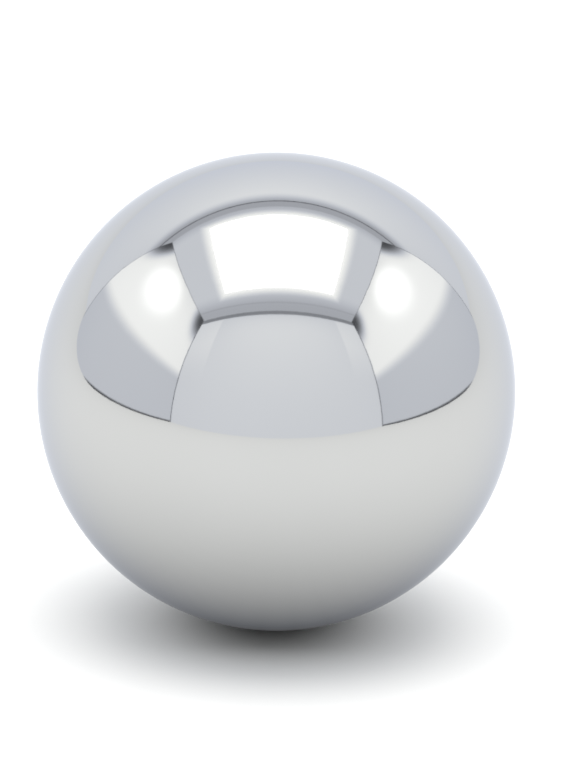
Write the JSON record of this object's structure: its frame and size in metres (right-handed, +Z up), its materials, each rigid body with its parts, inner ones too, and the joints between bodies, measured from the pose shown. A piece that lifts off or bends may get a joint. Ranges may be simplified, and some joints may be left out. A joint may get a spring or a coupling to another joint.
{
  "type": "bearing ball",
  "caption": "Solid, mirror-polished steel ball that rolls between bearing races or stands loose as a rolling element.",
  "frame": {"origin": "centre of the ball", "axes": "+Z up, away from the surface that the ball rests on; a sphere has no other direction of its own"},
  "size_m": [0.0254, 0.0254, 0.0254],
  "materials": {
    "polished_bearing_steel": "mirror lapped"
  },
  "bodies": {
    "root": {"bearing_ball": "polished_bearing_steel"}
  },
  "joints": []
}
